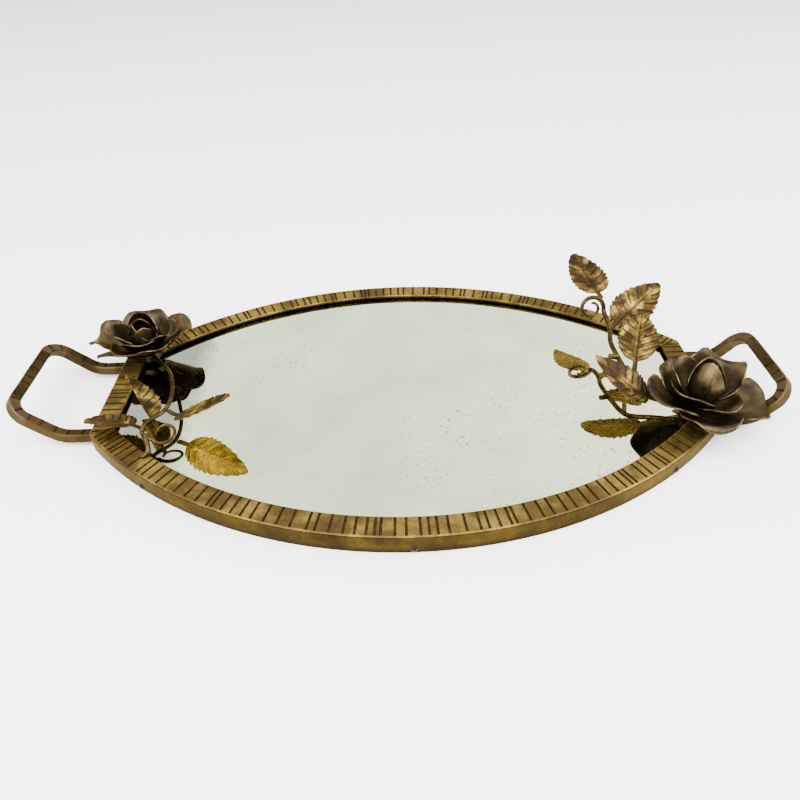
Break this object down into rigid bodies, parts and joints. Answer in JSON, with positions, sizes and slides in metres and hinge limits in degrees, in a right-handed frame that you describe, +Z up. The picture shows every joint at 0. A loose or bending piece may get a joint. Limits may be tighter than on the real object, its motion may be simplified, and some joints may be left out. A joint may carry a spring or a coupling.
{
  "type": "dresser vanity tray",
  "caption": "Mirror-bottomed vanity tray with a chiselled bronze-gilt rim, raised loop handles, and a metal rose and leaf spray at two opposite corners.",
  "frame": {"origin": "middle of the tray on the surface it rests on", "axes": "+X along the tray to its right handle, +Y to its back, +Z up"},
  "size_m": [0.5267, 0.2774, 0.0565],
  "materials": {
    "rim_iron": "antiqued gilt over iron, satin",
    "handle_iron": "antiqued gilt over iron, satin",
    "petal_bronze": "dark bronze patina with rubbed gilt edges",
    "leaf_gilt": "gilt with brown patina in the veins",
    "stem_iron": "dark bronze patina",
    "pin_brass": "worn brass",
    "mirror": "aged silvered glass",
    "board": "raw plywood",
    "felt": "felt"
  },
  "bodies": {
    "root": {"back_rail": "rim_iron", "backing_board": "board", "base_felt": "felt", "edge_pins": "pin_brass", "front_rail": "rim_iron", "left_end_rail": "rim_iron", "left_handle": "handle_iron", "left_leaf_back": "leaf_gilt", "left_leaf_front": "leaf_gilt", "left_leaf_middle": "leaf_gilt", "left_rose_boss": "stem_iron", "left_rose_bud_petal_1": "petal_bronze", "left_rose_bud_petal_2": "petal_bronze", "left_rose_bud_petal_3": "petal_bronze", "left_rose_middle_petal_1": "petal_bronze", "left_rose_middle_petal_2": "petal_bronze", "left_rose_middle_petal_3": "petal_bronze", "left_rose_middle_petal_4": "petal_bronze", "left_rose_outer_petal_1": "petal_bronze", "left_rose_outer_petal_2": "petal_bronze", "left_rose_outer_petal_3": "petal_bronze", "left_rose_outer_petal_4": "petal_bronze", "left_rose_outer_petal_5": "petal_bronze", "left_rose_sepal": "petal_bronze", "left_stem": "stem_iron", "left_twig": "stem_iron", "mirror_glass": "mirror", "right_end_rail": "rim_iron", "right_handle": "handle_iron", "right_leaf_back": "leaf_gilt", "right_leaf_front": "leaf_gilt", "right_leaf_middle": "leaf_gilt", "right_leaf_top": "leaf_gilt", "right_rose_boss": "stem_iron", "right_rose_bud_petal_1": "petal_bronze", "right_rose_bud_petal_2": "petal_bronze", "right_rose_bud_petal_3": "petal_bronze", "right_rose_middle_petal_1": "petal_bronze", "right_rose_middle_petal_2": "petal_bronze", "right_rose_middle_petal_3": "petal_bronze", "right_rose_middle_petal_4": "petal_bronze", "right_rose_outer_petal_1": "petal_bronze", "right_rose_outer_petal_2": "petal_bronze", "right_rose_outer_petal_3": "petal_bronze", "right_rose_outer_petal_4": "petal_bronze", "right_rose_outer_petal_5": "petal_bronze", "right_stem": "stem_iron", "right_twig": "stem_iron"}
  },
  "joints": []
}
